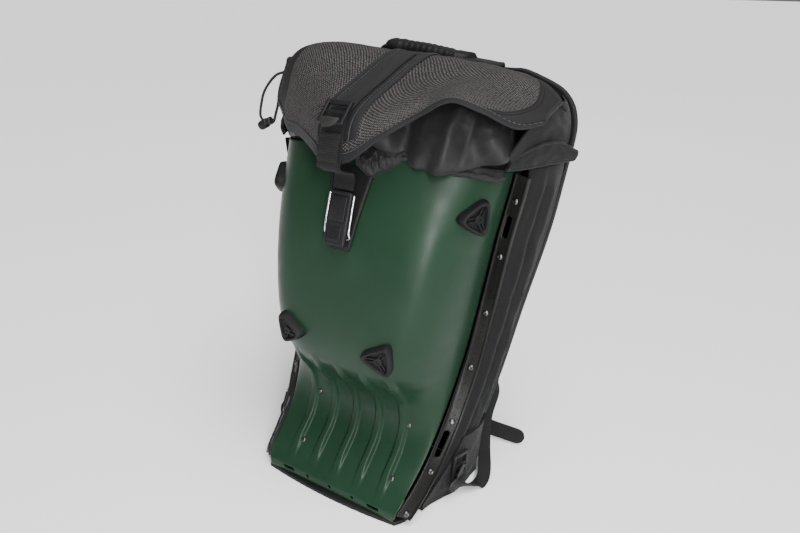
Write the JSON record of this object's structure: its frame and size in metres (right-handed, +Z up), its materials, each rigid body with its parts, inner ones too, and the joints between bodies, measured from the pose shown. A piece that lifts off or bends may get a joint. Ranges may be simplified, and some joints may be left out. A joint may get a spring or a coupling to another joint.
{
  "type": "hard shell backpack",
  "caption": "Backpack with a moulded ribbed shell, screwed side rails, a mesh lid flap with a hook catch, a crumpled collar and a padded fabric back.",
  "frame": {"origin": "middle of the flat base's underside, on the floor", "axes": "+Z up, the shell's front towards -Y, the wearer's side towards +Y, +X to the right seen from the front"},
  "size_m": [0.4018, 0.2606, 0.5096],
  "materials": {
    "shell": "satin moulded green plastic",
    "rail": "satin black",
    "rubber": "matt black rubber",
    "cloth": "woven, padded",
    "nylon": "thin crumpled nylon with a slight sheen",
    "mesh": "dark grey mesh with light dots",
    "webbing": "woven webbing",
    "buckle": "satin black",
    "tab": "light grey",
    "steel": "polished wire",
    "screw": "blackened"
  },
  "bodies": {
    "root": {"shell": "shell", "rail_left": "rail", "rail_right": "rail", "rail_screw_left_1": "screw", "rail_screw_left_2": "screw", "rail_screw_left_3": "screw", "rail_screw_left_4": "screw", "rail_screw_left_5": "screw", "rail_screw_left_6": "screw", "rail_screw_left_7": "screw", "rail_screw_right_1": "screw", "rail_screw_right_2": "screw", "rail_screw_right_3": "screw", "rail_screw_right_4": "screw", "rail_screw_right_5": "screw", "rail_screw_right_6": "screw", "rail_screw_right_7": "screw", "shell_rivet_1": "screw", "shell_rivet_2": "screw", "shell_rivet_3": "screw", "shell_rivet_4": "screw", "mount_lower_left": "rubber", "mount_lower_right": "rubber", "mount_upper_left": "rubber", "mount_upper_right": "rubber", "base": "rubber", "back_panel": "cloth", "gusset_left": "cloth", "gusset_right": "cloth", "lid": "mesh", "lid_band": "cloth", "lid_strap": "webbing", "lid_buckle": "buckle", "buckle_tab": "tab", "strap_tail": "webbing", "hook_tab": "rubber", "hook_plate": "buckle", "hook_wire": "steel", "handle_strap": "webbing", "handle_grip": "rubber", "back_pad_upper": "cloth", "lumbar_pad": "cloth", "shoulder_strap_left": "cloth", "hip_wing_left": "cloth", "strap_adjuster_left": "buckle", "strap_webbing_left": "webbing", "hip_webbing_left": "webbing", "collar_wing_left": "nylon", "shoulder_strap_right": "cloth", "hip_wing_right": "cloth", "strap_adjuster_right": "buckle", "strap_webbing_right": "webbing", "hip_webbing_right": "webbing", "collar_wing_right": "nylon", "collar": "nylon", "cord_loop": "webbing", "cord_lock": "buckle"}
  },
  "joints": []
}
